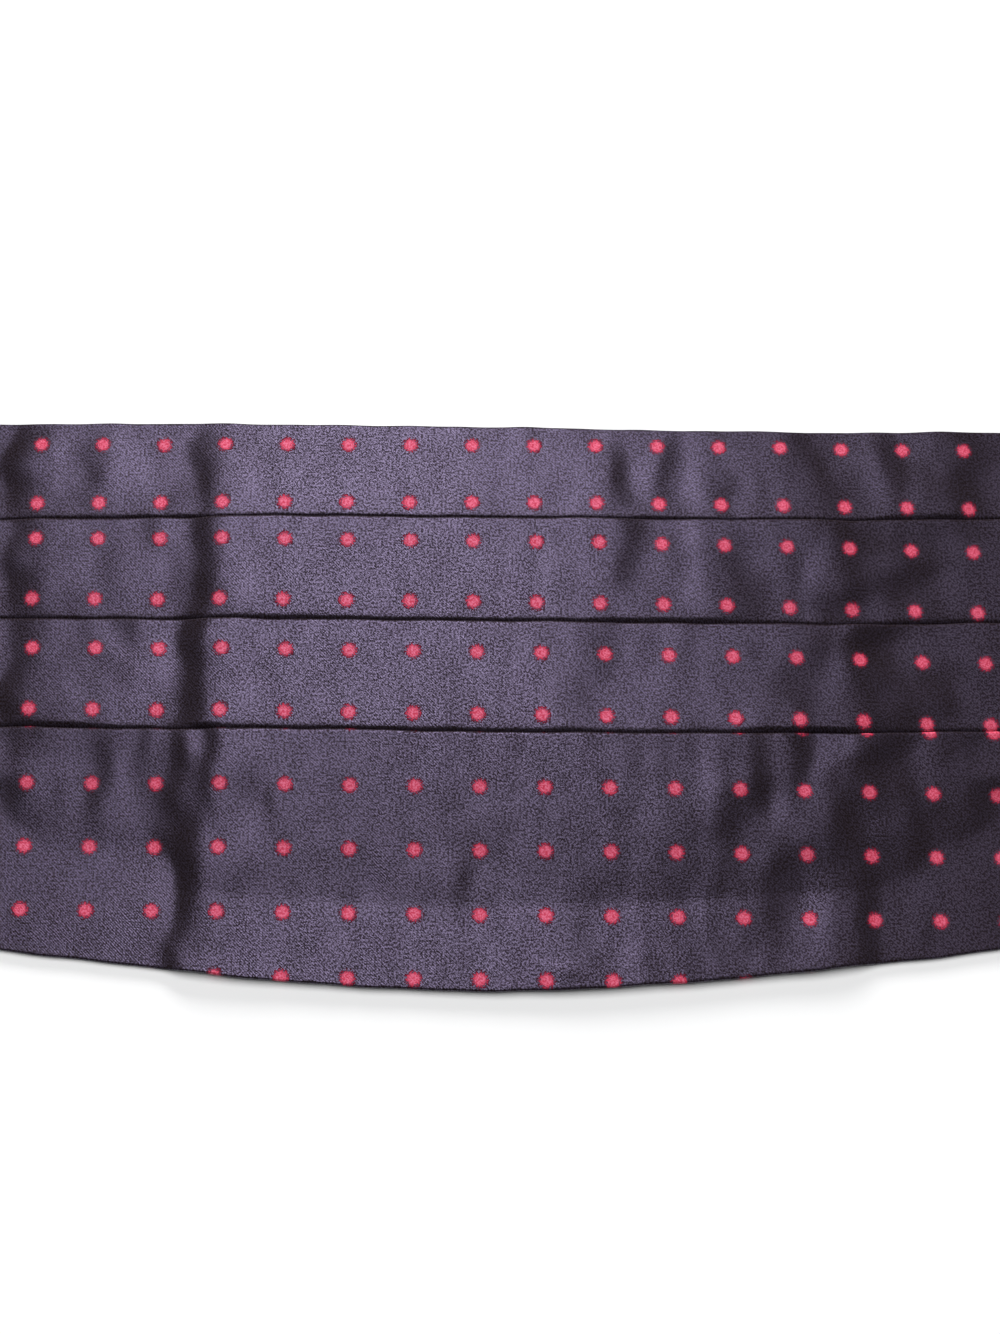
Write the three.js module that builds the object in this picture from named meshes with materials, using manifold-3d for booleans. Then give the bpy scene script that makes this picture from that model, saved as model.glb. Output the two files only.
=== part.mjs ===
// A silk cummerbund lying flat and unfastened, front face up.
// Units are millimetres. X runs along the sash, Y from the hem to the top edge, Z up from the surface.
// The origin is on that surface, under the middle of the pleated panel, halfway up its depth.

import * as THREE from 'three';
import { mergeVertices } from 'three/addons/utils/BufferGeometryUtils.js';
import Module from 'manifold-3d';

// The pleated panel: its length, and the depth of each band that shows at the middle.
const panelLength = 660;
const topBand = 22.8;
const secondBand = 26;
const thirdBand = 26.8;
const lowerPanel = 60.9;

// At its two ends the panel is narrower and the bands run together.
const endDepth = 53;
const parallelReach = 125;

// The cloth, and the air left between two layers of it.
const clothWall = 1;
const layerGap = 0.3;
const underlap = 10;

// How far the front puffs up off the back between its creases.
const puffHeight = 1.1;
const edgeFade = 12;

// The two straps: cloth pressed double, tucked into the ends of the panel.
const strapWidth = 36;
const strapLength = 140;
const strapWall = 1.5;
const strapTuck = 22;
const strapLap = 24;
const strapDrop = 16;
const riseLength = 24;

// The clasp: a slotted plate with a hook, and an open loop that the hook catches.
const plateWall = 1.6;
const barWidth = 2.6;
const sideClearance = 1.6;
const slotLength = 5.5;
const bridgeLength = 5;
const loopLength = 12;
const cornerRadius = 3;
const hookWidth = 20;
const hookGap = 2.4;
const hookReach = 9;
const hookReturn = 8;

// Mesh fineness.
const fineStep = 12.5;
const coarseStep = 27;
const turnSteps = 3;
const strapRows = 4;

// Sizes that follow from the ones above.
const depth = topBand + secondBand + thirdBand + lowerPanel;
const topEdge = depth / 2;
const halfLength = panelLength / 2;
const layerPitch = clothWall + layerGap;
const backLevel = clothWall / 2;
const strapPitch = strapWall + layerGap;
const strapLevel = clothWall + layerGap + strapWall / 2;
const strapCentre = topEdge - endDepth / 2;
const wrapRadius = Math.hypot(barWidth, plateWall) / 2 + layerGap + strapWall / 2;
const barLevel = strapWall / 2 + wrapRadius;
const barPlace = halfLength + strapLength - wrapRadius - strapWall / 2;
const frameWidth = strapWidth + 2 * sideClearance + 2 * barWidth;
const hookRadius = (plateWall + hookGap) / 2;

// The end widths of the three upper bands, as shares of the panel's depth at its ends.
const endShares = { top: 0.23, second: 0.25, third: 0.25 };

// The seam where the turned edges of the cloth meet on the back, as a share of the depth from the hem.
const seamShare = 0.62;

// Creases that pinch the front down onto the back. Across is a share of half the length, from and
// to are shares of the depth below the top edge, lean is the sideways drift from top to hem and width
// the half width, both as shares of half the length, and pinch is a share of the puff height.
const creases = [
  { across: -0.350, from: -0.1, to: 0.6, lean: 0.00, width: 0.030, pinch: 1.0 },
  { across: -0.285, from: -0.1, to: 0.2, lean: 0.00, width: 0.020, pinch: 0.6 },
  { across: -0.205, from: -0.1, to: 1.1, lean: -0.03, width: 0.026, pinch: 1.0 },
  { across: -0.156, from: 0.6, to: 0.9, lean: -0.01, width: 0.020, pinch: 0.6 },
  { across: 0.112, from: -0.1, to: 0.5, lean: -0.01, width: 0.028, pinch: 1.0 },
  { across: 0.078, from: 0.8, to: 1.1, lean: 0.00, width: 0.024, pinch: 0.5 },
  { across: 0.213, from: 0.5, to: 0.9, lean: 0.01, width: 0.024, pinch: 0.6 },
  { across: 0.270, from: -0.1, to: 1.1, lean: 0.01, width: 0.030, pinch: 0.9 },
  { across: 0.354, from: -0.1, to: 0.6, lean: 0.00, width: 0.030, pinch: 1.0 },
  { across: 0.560, from: -0.1, to: 1.1, lean: 0.02, width: 0.050, pinch: 0.8 },
  { across: -0.560, from: -0.1, to: 1.1, lean: -0.02, width: 0.050, pinch: 0.8 },
];

function smoothStep(value) {
  const share = Math.min(1, Math.max(0, value));
  return share * share * (3 - 2 * share);
}

function mix(from, to, share) {
  return from + (to - from) * share;
}

// How far the bands have run together at a place along the panel: 0 in the middle, 1 at the ends.
function narrowing(x) {
  return smoothStep((Math.abs(x) - parallelReach) / (halfLength - parallelReach));
}

// The hem is a shallow parabola below a straight top edge.
function panelDepth(x) {
  return mix(depth, endDepth, (x / halfLength) ** 2);
}

// The visible depths of the three upper bands. The lower panel takes what is left.
function bandDepths(x) {
  const share = narrowing(x);
  return [
    mix(topBand, endDepth * endShares.top, share),
    mix(secondBand, endDepth * endShares.second, share),
    mix(thirdBand, endDepth * endShares.third, share),
  ];
}

// The front is lifted over the strap that is tucked between it and the back.
const liftFull = halfLength - strapTuck - layerGap;
const liftStart = liftFull - riseLength;

function frontLift(x) {
  return strapPitch * smoothStep((Math.abs(x) - liftStart) / riseLength);
}

// Puff of the front off the back: full height, less the pinch of each crease that crosses here.
function frontPuff(x, y) {
  const below = (topEdge - y) / depth;
  const inset = Math.min(topEdge - y, y - topEdge + panelDepth(x));
  const endInset = (liftStart - Math.abs(x)) / riseLength;
  let pinched = 0;
  for (const crease of creases) {
    const middle = (crease.across + crease.lean * below) * halfLength;
    const offset = (x - middle) / (crease.width * halfLength);
    const along = smoothStep((below - crease.from) / 0.1) * smoothStep((crease.to - below) / 0.1);
    pinched = Math.max(pinched, crease.pinch * along * Math.exp(-offset * offset));
  }
  return puffHeight * (1 - pinched) * smoothStep(inset / edgeFade) * smoothStep(endInset);
}

// Points on an arc in a section, angles in quarter turns from the first axis towards the second.
function arcPoints(first, second, radius, from, to, steps) {
  const points = [];
  for (let step = 0; step <= steps; step += 1) {
    const angle = mix(from, to, step / steps) * Math.PI / 2;
    points.push([first + radius * Math.cos(angle), second + radius * Math.sin(angle)]);
  }
  return points;
}

// The middle line of the cloth in the section across the panel at x, as pairs of y and z. It starts at
// the seam on the back, turns round the top edge, runs down the front through three pleats that open
// upwards, turns round the hem and comes back to the seam.
function panelSection(x) {
  const hem = topEdge - panelDepth(x);
  const low = backLevel + layerPitch + frontLift(x);
  const middle = low + layerPitch;
  const high = middle + layerPitch;
  const edgeRadius = (low - backLevel) / 2;
  const edgeLevel = (low + backLevel) / 2;
  const foldRadius = layerPitch / 2;
  const outside = clothWall / 2;
  const seam = hem + panelDepth(x) * seamShare;

  const points = [[seam + layerGap / 2, backLevel]];
  points.push(...arcPoints(topEdge - outside - edgeRadius, edgeLevel, edgeRadius, -1, 1, turnSteps));

  const bands = bandDepths(x);
  const following = [bands[1], bands[2], panelDepth(x) - bands[0] - bands[1] - bands[2]];
  let fold = topEdge;
  for (let pleat = 0; pleat < bands.length; pleat += 1) {
    fold -= bands[pleat];
    const hidden = underlap * bands[pleat] / [topBand, secondBand, thirdBand][pleat];
    const turned = fold - hidden + outside + foldRadius;
    const settled = mix(fold - hidden, fold - following[pleat], pleat < bands.length - 1 ? 0.45 : 0.3);
    points.push(...arcPoints(turned, (low + middle) / 2, foldRadius, -1, -3, turnSteps));
    points.push(...arcPoints(fold - outside - foldRadius, (middle + high) / 2, foldRadius, -1, 1, turnSteps));
    points.push([fold - hidden, high]);
    points.push([mix(fold - hidden, settled, 0.5), mix(high, low, 0.62)]);
    points.push([settled, low]);
  }

  points.push([mix(points.at(-1)[0], hem, 0.5), low]);
  points.push(...arcPoints(hem + outside + edgeRadius, edgeLevel, edgeRadius, 1, 3, turnSteps));
  points.push([seam - layerGap / 2, backLevel]);
  return points;
}

// The two faces of a wall: each point of its middle line moved half the wall to either side.
function wallFaces(points, wall) {
  const left = [];
  const right = [];
  points.forEach(([first, second], index) => {
    const [aheadFirst, aheadSecond] = points[Math.min(index + 1, points.length - 1)];
    const [backFirst, backSecond] = points[Math.max(index - 1, 0)];
    const inward = new THREE.Vector2(first - backFirst, second - backSecond).normalize();
    const onward = new THREE.Vector2(aheadFirst - first, aheadSecond - second).normalize();
    const along = inward.add(onward).normalize().multiplyScalar(wall / 2);
    left.push([first - along.y, second + along.x]);
    right.push([first + along.y, second - along.x]);
  });
  return { left, right };
}

// A closed body from rows of points: each row is a strip's left face and then its right face backwards,
// so a row is a closed outline. The ends are closed strip by strip.
function bodyFromRows(rows) {
  const count = rows[0].length;
  const positions = rows.flat(2);
  const triangles = [];
  for (let row = 0; row < rows.length - 1; row += 1) {
    for (let item = 0; item < count; item += 1) {
      const here = row * count + item;
      const next = row * count + (item + 1) % count;
      triangles.push(here, here + count, next + count, here, next + count, next);
    }
  }
  const last = (rows.length - 1) * count;
  for (let item = 0; item < count / 2 - 1; item += 1) {
    const across = count - 1 - item;
    triangles.push(item, item + 1, across - 1, item, across - 1, across);
    triangles.push(last + item, last + across, last + across - 1);
    triangles.push(last + item, last + across - 1, last + item + 1);
  }
  const geometry = new THREE.BufferGeometry();
  geometry.setAttribute('position', new THREE.Float32BufferAttribute(positions, 3));
  geometry.setIndex(triangles);
  geometry.computeVertexNormals();
  return geometry;
}

// Marks from one place to another, no further apart than the step, without the last.
function marksBetween(from, to, step) {
  const count = Math.max(1, Math.ceil((to - from) / step));
  return Array.from({ length: count }, (unused, index) => mix(from, to, index / count));
}

function panelGeometry() {
  const half = [
    ...marksBetween(0, parallelReach, fineStep),
    ...marksBetween(parallelReach, liftStart, coarseStep),
    ...marksBetween(liftStart, liftFull, riseLength / 2),
    liftFull,
    halfLength,
  ];
  const stations = [...half.slice(1).reverse().map((mark) => -mark), ...half];
  const rows = stations.map((x) => {
    const faces = wallFaces(panelSection(x), clothWall);
    const front = backLevel + layerPitch + frontLift(x);
    return [...faces.left, ...faces.right.reverse()].map(([y, z]) => {
      const share = smoothStep((z - clothWall) / (front - clothWall));
      return [x, y, z + frontPuff(x, y) * share];
    });
  });
  return bodyFromRows(rows);
}

// A strap in the section along it, as pairs of x and z: out of the panel, down to the surface, along to
// the clasp, round its bar and back on top of itself.
function strapSection() {
  const leave = halfLength + layerGap;
  const lapLevel = strapWall / 2 + strapPitch;
  const lapped = barPlace - 2 * wrapRadius;
  return [
    [halfLength - strapTuck, strapLevel],
    [leave, strapLevel],
    [leave + strapDrop / 2, mix(strapLevel, strapWall / 2, 0.5)],
    [leave + strapDrop, strapWall / 2],
    [lapped - strapLap, strapWall / 2],
    ...arcPoints(barPlace, barLevel, wrapRadius, -1, 1, 2 * turnSteps),
    [barPlace - wrapRadius, mix(barLevel + wrapRadius, lapLevel, 0.2)],
    [lapped, lapLevel],
    [lapped - strapLap, lapLevel],
  ];
}

// side is 1 for the right strap and -1 for the left, its mirror image.
function strapGeometry(side) {
  const faces = wallFaces(strapSection(), strapWall);
  const outline = [...faces.left, ...faces.right.reverse()];
  const rows = [];
  for (let row = 0; row <= strapRows; row += 1) {
    const y = strapCentre + side * mix(strapWidth / 2, -strapWidth / 2, row / strapRows);
    rows.push(outline.map(([x, z]) => [side * x, y, z]));
  }
  return bodyFromRows(rows);
}

// A rectangle with round corners, drawn anticlockwise.
function roundedOutline(target, left, right, halfWidth, radius) {
  target.moveTo(left + radius, -halfWidth);
  target.lineTo(right - radius, -halfWidth);
  target.absarc(right - radius, radius - halfWidth, radius, -Math.PI / 2, 0, false);
  target.lineTo(right, halfWidth - radius);
  target.absarc(right - radius, halfWidth - radius, radius, 0, Math.PI / 2, false);
  target.lineTo(left + radius, halfWidth);
  target.absarc(left + radius, halfWidth - radius, radius, Math.PI / 2, Math.PI, false);
  target.lineTo(left, radius - halfWidth);
  target.absarc(left + radius, radius - halfWidth, radius, Math.PI, Math.PI * 1.5, false);
  return target;
}

// A flat metal frame with one window. Its bar is centred on the origin and it runs out along +X.
function frameGeometry(windowLength, farLength) {
  const near = -barWidth / 2;
  const windowEnd = barWidth / 2 + windowLength;
  const halfWidth = frameWidth / 2;
  const outline = roundedOutline(new THREE.Shape(), near, windowEnd + farLength, halfWidth, cornerRadius);
  const innerRadius = cornerRadius / 4;
  outline.holes.push(
    roundedOutline(new THREE.Path(), barWidth / 2, windowEnd, halfWidth - barWidth, innerRadius),
  );
  const geometry = new THREE.ExtrudeGeometry(outline, {
    depth: plateWall,
    bevelEnabled: false,
    curveSegments: 4,
  });
  return geometry.translate(0, 0, -plateWall / 2);
}

// The hook in side view: a tongue that leaves the plate, turns up and comes back above it.
function hookGeometry(start) {
  const line = [
    [start, 0],
    ...arcPoints(start + hookReach, hookRadius, hookRadius, -1, 1, 2 * turnSteps),
    [start + hookReach - hookReturn, 2 * hookRadius],
  ];
  const faces = wallFaces(line, plateWall);
  const outline = [...faces.left, ...faces.right.reverse()];
  const rows = [hookWidth / 2, -hookWidth / 2].map((y) => outline.map(([x, z]) => [x, y, z]));
  return bodyFromRows(rows);
}

const wasm = await Module();
wasm.setup();

// A closed mesh as a solid, with its shared corners merged.
function solidOf(geometry) {
  const bare = geometry.clone();
  bare.deleteAttribute('normal');
  bare.deleteAttribute('uv');
  const merged = mergeVertices(bare, 1e-4);
  return new wasm.Manifold(new wasm.Mesh({
    numProp: 3,
    vertProperties: new Float32Array(merged.getAttribute('position').array),
    triVerts: new Uint32Array(merged.getIndex().array),
  }));
}

function geometryOf(solid) {
  const mesh = solid.getMesh();
  const geometry = new THREE.BufferGeometry();
  geometry.setAttribute('position', new THREE.BufferAttribute(mesh.vertProperties, 3));
  geometry.setIndex(new THREE.BufferAttribute(mesh.triVerts, 1));
  geometry.computeVertexNormals();
  return geometry;
}

// Half of the clasp in its place: its bar lies in the strap's wrap and it leans down to the surface,
// which it meets at its reach.
function placeOnBar(mesh, side, reach) {
  const drop = Math.asin((barLevel - plateWall / 2) / reach);
  mesh.rotation.set(0, drop, 0);
  mesh.position.set(barPlace, 0, barLevel);
  const holder = new THREE.Group();
  holder.rotation.z = side > 0 ? 0 : Math.PI;
  holder.position.set(0, strapCentre, 0);
  holder.add(mesh);
  return holder;
}

const silk = { color: 0x5b5167, roughness: 0.55, metalness: 0 };
const brass = { color: 0xb99a5b, roughness: 0.35, metalness: 1 };

function namedMesh(name, geometry, finish) {
  const mesh = new THREE.Mesh(geometry, new THREE.MeshStandardMaterial(finish));
  mesh.name = name;
  return mesh;
}

function hookPlate() {
  const slotted = solidOf(frameGeometry(slotLength, bridgeLength));
  const tongueStart = barWidth / 2 + slotLength + bridgeLength / 2;
  const hook = solidOf(hookGeometry(tongueStart));
  const mesh = namedMesh('hook_plate', geometryOf(slotted.add(hook)), brass);
  return placeOnBar(mesh, 1, tongueStart + hookReach + hookRadius);
}

function eyeLoop() {
  const mesh = namedMesh('eye_loop', frameGeometry(loopLength, barWidth), brass);
  return placeOnBar(mesh, -1, barWidth / 2 + loopLength + barWidth);
}

const group = new THREE.Group();
group.add(namedMesh('pleated_front', panelGeometry(), silk));
group.add(namedMesh('strap_right', strapGeometry(1), silk));
group.add(namedMesh('strap_left', strapGeometry(-1), silk));
group.add(hookPlate());
group.add(eyeLoop());

export default group;
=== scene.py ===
# %% [markdown]
# # A pleated silk cummerbund, laid flat
# A cummerbund is one long piece of silk, pressed into knife pleats, with a strap and a clasp at each
# end. The measured model gives its sizes. This script dresses that model: real cloth surfaces for the
# pleats, a woven silk with small round dots, stitched straps and a satin metal clasp.
# Lengths below are in millimetres unless a line says otherwise, and meshes are made in metres.

# %% Load the measured model
import math

import bmesh
import bpy
import numpy as np
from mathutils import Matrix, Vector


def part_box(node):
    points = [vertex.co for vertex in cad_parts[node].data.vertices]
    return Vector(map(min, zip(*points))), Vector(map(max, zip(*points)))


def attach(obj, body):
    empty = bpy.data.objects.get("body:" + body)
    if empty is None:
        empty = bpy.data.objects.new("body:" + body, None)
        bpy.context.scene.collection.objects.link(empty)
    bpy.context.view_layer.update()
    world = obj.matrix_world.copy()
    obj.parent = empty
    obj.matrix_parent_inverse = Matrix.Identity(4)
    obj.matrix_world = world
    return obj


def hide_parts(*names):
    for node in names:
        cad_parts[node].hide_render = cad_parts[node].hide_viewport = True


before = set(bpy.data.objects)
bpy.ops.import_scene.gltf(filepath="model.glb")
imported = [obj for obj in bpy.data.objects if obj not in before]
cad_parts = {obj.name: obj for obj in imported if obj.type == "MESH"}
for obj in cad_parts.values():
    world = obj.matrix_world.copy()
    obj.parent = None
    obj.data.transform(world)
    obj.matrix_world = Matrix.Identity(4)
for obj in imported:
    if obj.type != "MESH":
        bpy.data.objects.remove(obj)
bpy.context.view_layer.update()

MM = 0.001
front_low, front_high = (np.array(corner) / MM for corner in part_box("pleated_front"))
print("measured panel, mm:", np.round(front_high - front_low, 1))

# %% [markdown]
# ## Camera
# The sash lies on a white ground and the camera looks down at it steeply, from the hem side. A camera
# is easiest to place by a target, an angle above the ground and a distance, so those are the values
# here. The small roll tilts the picture the way a hand-held camera does.

# %% Place the camera
VIEW_TARGET = (3.6, 7.6, 3.3)
VIEW_ELEVATION = math.radians(74.4)
VIEW_DISTANCE = 436.0
VIEW_ROLL = math.radians(0.3)

view_data = bpy.data.cameras.new("view")
view_data.lens = 50.0
view_data.sensor_width = 36.0
view_data.clip_start = 0.01
view = bpy.data.objects.new("view", view_data)
bpy.context.scene.collection.objects.link(view)
away = np.array([0.0, -math.cos(VIEW_ELEVATION), math.sin(VIEW_ELEVATION)])
view.location = (np.array(VIEW_TARGET) + VIEW_DISTANCE * away) * MM
view.rotation_euler = (math.pi / 2 - VIEW_ELEVATION, 0.0, 0.0)
view.rotation_euler.rotate_axis("Z", VIEW_ROLL)
bpy.context.scene.camera = view
print("camera at, mm:", np.round(np.array(view.location) / MM, 1))

# %% [markdown]
# ## Ground and studio light
# Silk shows its folds by what it mirrors: where the cloth lies flat it mirrors a soft lamp, and where
# it tilts away it mirrors the dark room. So two lamps hang where the cloth mirrors them to the camera,
# a little to the left: the main lamp for the top band and the top lamp for the flatter panel below.
# Both are narrow from left to right, so the sash darkens towards its sides. A third, low and wide lamp
# behind the top edge whitens the ground and draws a soft shadow below the hem. Nothing mirrors it.

# %% Lay the ground and hang the lamps
def aimed_lamp(name, direction, distance, width, height, power):
    """An area lamp at a distance along a direction from the middle of the sash, facing it."""
    data = bpy.data.lights.new(name, "AREA")
    data.shape = "RECTANGLE"
    data.size = width
    data.size_y = height
    data.energy = power
    lamp = bpy.data.objects.new(name, data)
    bpy.context.scene.collection.objects.link(lamp)
    unit = np.array(direction) / np.linalg.norm(direction)
    lamp.location = unit * distance
    lamp.rotation_euler = (-math.asin(unit[1]), math.atan2(unit[0], unit[2]), 0.0)
    return lamp


def from_angles(elevation, azimuth):
    """The direction at an angle above the ground, turned from straight behind towards the right."""
    up, across = math.radians(elevation), math.radians(azimuth)
    flat = math.cos(up)
    return (flat * math.sin(across), flat * math.cos(across), math.sin(up))


aimed_lamp("main_lamp", from_angles(55.5, -8.4), 2.0, 0.28, 0.9, 22.1)
aimed_lamp("top_lamp", from_angles(81, -19), 2.0, 0.245, 0.85, 16.1)
aimed_lamp("low_lamp", from_angles(14, -3), 3.0, 3.0, 0.8, 148.0).visible_glossy = False

room = bpy.data.worlds.new("room")
room.use_nodes = True
room.node_tree.nodes["Background"].inputs["Color"].default_value = (0.92, 0.95, 1.0, 1.0)
room.node_tree.nodes["Background"].inputs["Strength"].default_value = 0.08
bpy.context.scene.world = room
bpy.context.scene.view_settings.view_transform = "Standard"

GROUND_REACH = 30.0
GROUND_LEVEL = -1e-5
ground_mesh = bpy.data.meshes.new("ground")
SQUARE = ((-1, -1), (1, -1), (1, 1), (-1, 1))
corners = [(x * GROUND_REACH, y * GROUND_REACH, GROUND_LEVEL) for x, y in SQUARE]
ground_mesh.from_pydata(corners, [], [(0, 1, 2, 3)])
ground = bpy.data.objects.new("ground", ground_mesh)
bpy.context.scene.collection.objects.link(ground)

# %% [markdown]
# ## Writing finishes as arithmetic
# A node tree is hard to read as a list of links. Here a socket is wrapped so that it adds and
# multiplies like a number, and every other node comes from one method. A finish then reads as the
# formula that it is.

# %% A socket that calculates, and a finish that makes nodes
class Socket:
    """An output socket that can be used in arithmetic; each operator adds one Math node."""

    def __init__(self, finish, output):
        self.finish = finish
        self.output = output

    def math(self, operation, *others):
        """One Math node, with this socket as its first input and the others after it."""
        sockets = dict(enumerate((self, *others)))
        return self.finish.value("ShaderNodeMath", {"operation": operation}, sockets)

    def __add__(self, other):
        return self.math("ADD", other)

    def __sub__(self, other):
        return self.math("SUBTRACT", other)

    def __rsub__(self, other):
        return self.finish.value("ShaderNodeMath", {"operation": "SUBTRACT"}, {0: other, 1: self})

    def __mul__(self, other):
        return self.math("MULTIPLY", other)

    def __pow__(self, other):
        return self.math("POWER", other)

    __radd__ = __add__
    __rmul__ = __mul__


class Finish:
    """A material being made. Nodes come only from node() and value()."""

    def __init__(self, name):
        self.material = bpy.data.materials.new(name)
        self.material.use_nodes = True
        self.tree = self.material.node_tree
        self.tree.nodes.clear()

    def node(self, kind, settings=None, sockets=None):
        """A node with these settings, whose inputs are numbers, colours or linked sockets."""
        made = self.tree.nodes.new(kind)
        for name, setting in (settings or {}).items():
            setattr(made, name, setting)
        for name, value in (sockets or {}).items():
            if isinstance(value, Socket):
                self.tree.links.new(value.output, made.inputs[name])
            else:
                made.inputs[name].default_value = value
        return made

    def value(self, kind, settings=None, sockets=None, output=0):
        """One output of a new node, ready for arithmetic."""
        return Socket(self, self.node(kind, settings, sockets).outputs[output])

    def blend(self, share, first, second):
        """The first colour where the share is 0 and the second where it is 1."""
        settings = {"data_type": "RGBA", "clamp_factor": True}
        return self.value("ShaderNodeMix", settings, {0: share, 6: first, 7: second}, output=2)

    def rise(self, value, low, high):
        """0 below low, 1 above high, and a smooth step between."""
        settings = {"interpolation_type": "SMOOTHSTEP", "clamp": True}
        sockets = {"Value": value, "From Min": low, "From Max": high}
        return self.value("ShaderNodeMapRange", settings, sockets)

    def noise(self, place, scale, detail=2.0, roughness=0.5):
        """Smooth noise about 0.5, with features about one over the scale across."""
        sockets = {"Vector": place, "Scale": scale, "Detail": detail, "Roughness": roughness}
        return self.value("ShaderNodeTexNoise", {"noise_dimensions": "3D"}, sockets)

    def surface(self, **inputs):
        """A Principled shader with these inputs."""
        sockets = {name.replace("_", " "): value for name, value in inputs.items()}
        return self.value("ShaderNodeBsdfPrincipled", {}, sockets)

    def close(self, shader):
        """Ends the tree in this shader and returns the material."""
        self.node("ShaderNodeOutputMaterial", {}, {"Surface": shader})
        return self.material


# %% Ground finish
plain = Finish("ground_paper")
paper = plain.surface(Base_Color=(0.9, 0.9, 0.9, 1.0), Roughness=0.95, Specular_IOR_Level=0.0)
ground_mesh.materials.append(plain.close(paper))
print("ground finish:", ground_mesh.materials[0].name)

# %% [markdown]
# ## The silk
# The cloth is a fine twill: bluish warp threads over a brown-black ground. Face on, the threads
# mirror light with a lilac tint, and tilted away they show the brown beneath. Some threads lie on top
# and sparkle, and others sink between them. So there are two surfaces, one that mirrors well and one
# that hardly does, and a fine noise mixes them over a bump at thread scale.
# The dots are woven in. Their outlines step from thread to thread, a rim of buried red surrounds
# them, and their own twill lines show. They sit on a square lattice, so each piece's UV map counts in
# lattice steps, with a dot at every whole number.

# %% Silk finish
PITCH = 15.0
DOT_RADIUS = 1.45
RIM_RADIUS = 2.1
DOT_BLUR = 0.12
DOT_RAGGED = 0.6
THREAD = 0.3
GRAIN = 0.5
GRAIN_LOW = 0.43
GRAIN_HIGH = 0.57
RIB_PITCH = 0.5
RIB_DRIFT = 0.05
DRIFT_SCALE = 0.35
CLOUD_SCALE = 0.11
STREAK_SCALE = 0.16
STREAK_PULL = (1.0, 0.6, 1.0)
SILK_ROUGHNESS = 0.27
RIM_ROUGHNESS = 0.22
THREAD_HEIGHT = 0.06
THREADS_IOR = 1.62
GAPS_IOR = 1.18
SHADE_BROWN = (0.011, 0.0068, 0.0068, 1.0)
SHADE_LILAC = (0.020, 0.0152, 0.0225, 1.0)
SHEEN_LILAC = (0.74, 0.61, 1.0, 1.0)
DOT_RED = (0.60, 0.095, 0.15, 1.0)
DOT_DEEP = (0.40, 0.020, 0.048, 1.0)
RIM_RED = (0.17, 0.006, 0.022, 1.0)


def silk_finish(name, dotted):
    """Twill silk from the UV map 'cloth', with or without its lattice of dots."""
    finish = Finish(name)
    cloth = finish.node("ShaderNodeUVMap", {"uv_map": "cloth"}).outputs["UV"]
    steps = finish.node("ShaderNodeSeparateXYZ", {}, {"Vector": Socket(finish, cloth)})
    along, across = (Socket(finish, steps.outputs[axis]) for axis in "XY")
    place = finish.value("ShaderNodeVectorMath", {"operation": "SCALE"},
                         {0: Socket(finish, cloth), "Scale": PITCH})

    drift = (finish.noise(place, DRIFT_SCALE) - 0.5) * RIB_DRIFT
    ribs = ((along + across + drift) * (2 * math.pi * PITCH / (RIB_PITCH * math.sqrt(2)))).math("SINE")
    ribs = ribs * 0.5 + 0.5
    grain = finish.noise(place, 1 / GRAIN, detail=3.0, roughness=0.65)
    cloudy = finish.noise(place, CLOUD_SCALE, detail=3.0)
    speck = finish.rise(grain, GRAIN_LOW, GRAIN_HIGH)

    tone = speck * 0.7 + ribs * 0.15 + (cloudy - 0.5) * 0.8
    colour = finish.blend(tone, SHADE_BROWN, SHADE_LILAC)
    rough = SILK_ROUGHNESS + (1 - ribs) * 0.05
    height = ribs * 0.3 + grain * 0.9
    if dotted:
        crossed = [(way * (PITCH / THREAD)).math("FLOOR") for way in (along, across)]
        woven = [(count + 0.5) * (THREAD / PITCH) for count in crossed]
        offset = [(way + 0.5).math("FRACT") - 0.5 for way in woven]
        radius = (offset[0] * offset[0] + offset[1] * offset[1]) ** 0.5 * PITCH
        ragged = radius + (speck - 0.5) * DOT_RAGGED
        dot = 1 - finish.rise(ragged, DOT_RADIUS - DOT_BLUR, DOT_RADIUS + DOT_BLUR)
        rim = 1 - finish.rise(ragged, DOT_RADIUS + 0.1, RIM_RADIUS)
        red = finish.blend(ribs * 0.2 + (1 - speck) * 0.7, DOT_RED, DOT_DEEP)
        colour = finish.blend(rim * 0.9, colour, RIM_RED)
        colour = finish.blend(dot, colour, red)
        rough = rough + rim * RIM_ROUGHNESS
        height = height + rim * 1.2
    bump = {"Strength": 1.0, "Distance": THREAD_HEIGHT * MM, "Height": height}
    normal = finish.value("ShaderNodeBump", {}, bump)
    shared = {"Base_Color": colour, "Roughness": rough, "Normal": normal, "Specular_Tint": SHEEN_LILAC}
    threads = finish.surface(IOR=THREADS_IOR, **shared)
    gaps = finish.surface(IOR=GAPS_IOR, **shared)
    pulled = finish.value("ShaderNodeMapping", {}, {"Vector": place, "Scale": STREAK_PULL})
    streaks = finish.noise(pulled, STREAK_SCALE, detail=2.0) - 0.5
    sheen = speck * 0.95 + ribs * 0.1 + streaks * 0.7
    if dotted:
        sheen = sheen - (rim - dot) * 0.5
    return finish.close(finish.value("ShaderNodeMixShader", {}, {0: sheen, 1: gaps, 2: threads}))


dotted_silk = silk_finish("dotted_silk", dotted=True)
strap_silk = silk_finish("strap_silk", dotted=False)
print("silk nodes:", len(dotted_silk.node_tree.nodes), "and", len(strap_silk.node_tree.nodes))

# %% [markdown]
# ## From a grid of points to closed cloth
# Cloth is thin but never flat: at a fold its edge shows. Each piece here is a grid of points along
# its middle, and this cell gives it two faces and a rim, so that it is a closed body with its faces
# pointing out. A Solidify modifier would do the same for an even wall, but straps are thinner at
# their edges, and the fold radii are close to the wall.

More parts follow.
